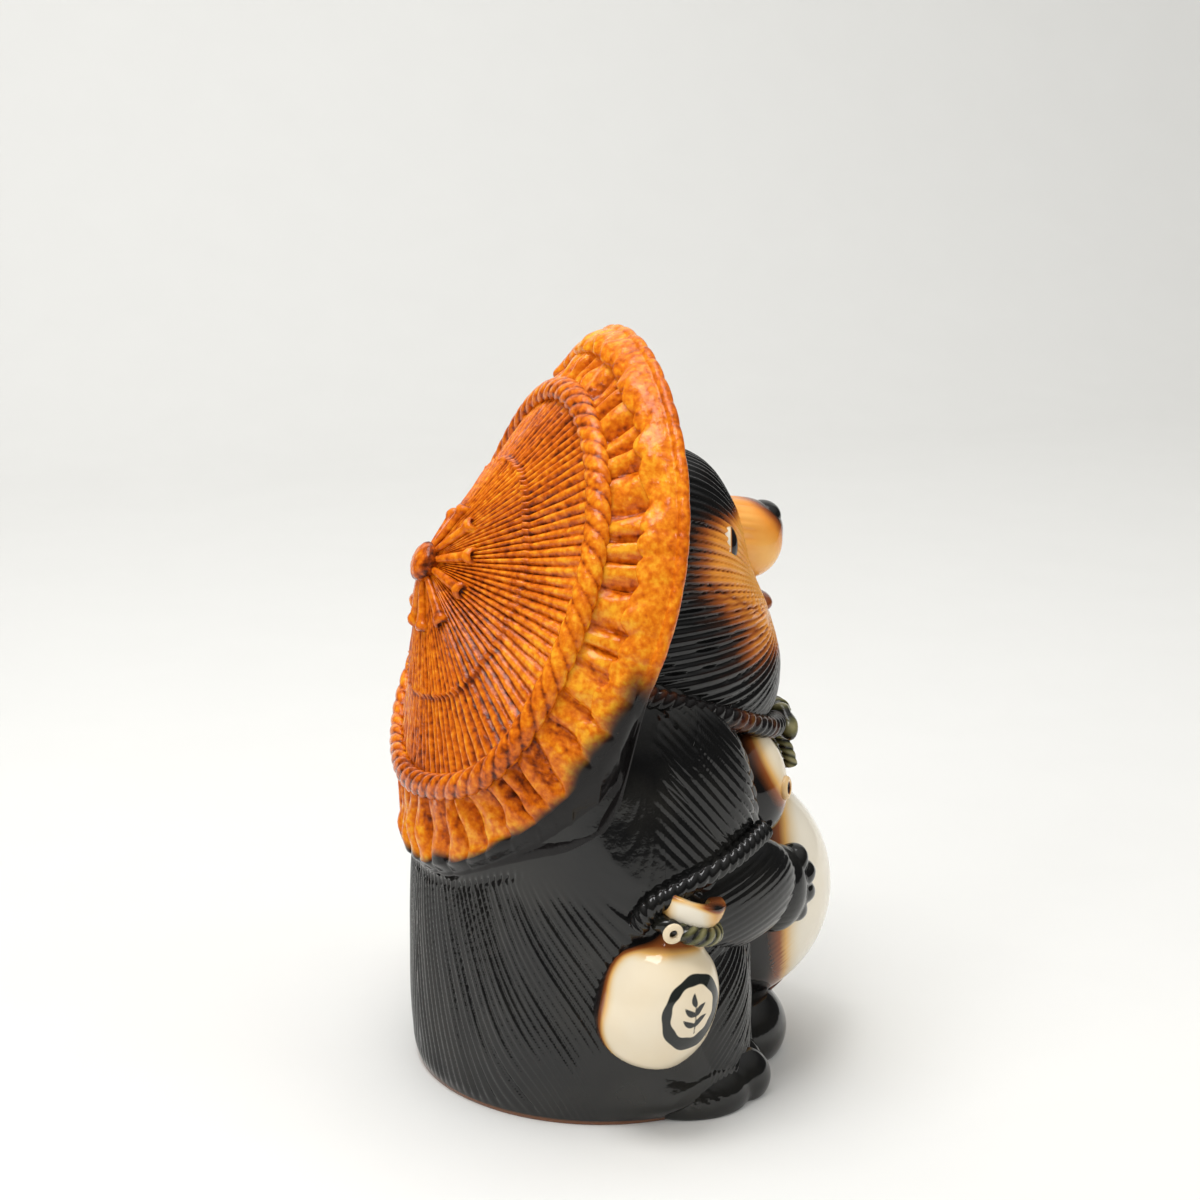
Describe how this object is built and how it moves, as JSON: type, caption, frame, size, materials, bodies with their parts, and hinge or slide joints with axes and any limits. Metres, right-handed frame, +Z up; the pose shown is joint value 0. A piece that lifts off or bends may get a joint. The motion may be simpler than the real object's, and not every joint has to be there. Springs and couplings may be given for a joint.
{
  "type": "tanuki statue",
  "caption": "Hollow glazed stoneware figure of a standing tanuki, seen with a ribbed straw hat on its back, a flask at one hip and a money bag, resting on a flat open foot ring",
  "frame": {"origin": "the middle of the foot ring, on the plane that the statue stands on", "axes": "+Z up, -Y the way the figure faces, -X its right side, where the flask hangs"},
  "size_m": [0.2217, 0.1986, 0.33],
  "materials": {
    "black_glaze": "gloss",
    "amber_glaze": "gloss",
    "cream_glaze": "gloss",
    "olive_glaze": "gloss"
  },
  "bodies": {
    "root": {"account_book": "cream_glaze", "belly": "cream_glaze", "body_back_shell": "black_glaze", "body_front_shell": "black_glaze", "chin_knot": "olive_glaze", "flask_body": "cream_glaze", "flask_collar": "black_glaze", "flask_lip": "cream_glaze", "flask_loop": "olive_glaze", "groin_peg": "amber_glaze", "hat_braid": "amber_glaze", "hat_brim": "amber_glaze", "hat_crown": "amber_glaze", "hat_knob": "amber_glaze", "hat_spokes": "amber_glaze", "head_shell": "black_glaze", "knot_tails": "olive_glaze", "left_arm": "black_glaze", "left_breast": "cream_glaze", "left_chin_cord": "amber_glaze", "left_ear": "black_glaze", "left_eye": "black_glaze", "left_foot": "black_glaze", "left_leg": "black_glaze", "left_nipple": "cream_glaze", "left_paw": "black_glaze", "lower_lip": "amber_glaze", "money_bag": "black_glaze", "muzzle": "cream_glaze", "nose": "black_glaze", "right_arm": "black_glaze", "right_breast": "cream_glaze", "right_chin_cord": "amber_glaze", "right_ear": "black_glaze", "right_eye": "black_glaze", "right_foot": "black_glaze", "right_leg": "black_glaze", "right_nipple": "cream_glaze", "right_paw": "black_glaze", "sling_cord": "black_glaze"}
  },
  "joints": []
}
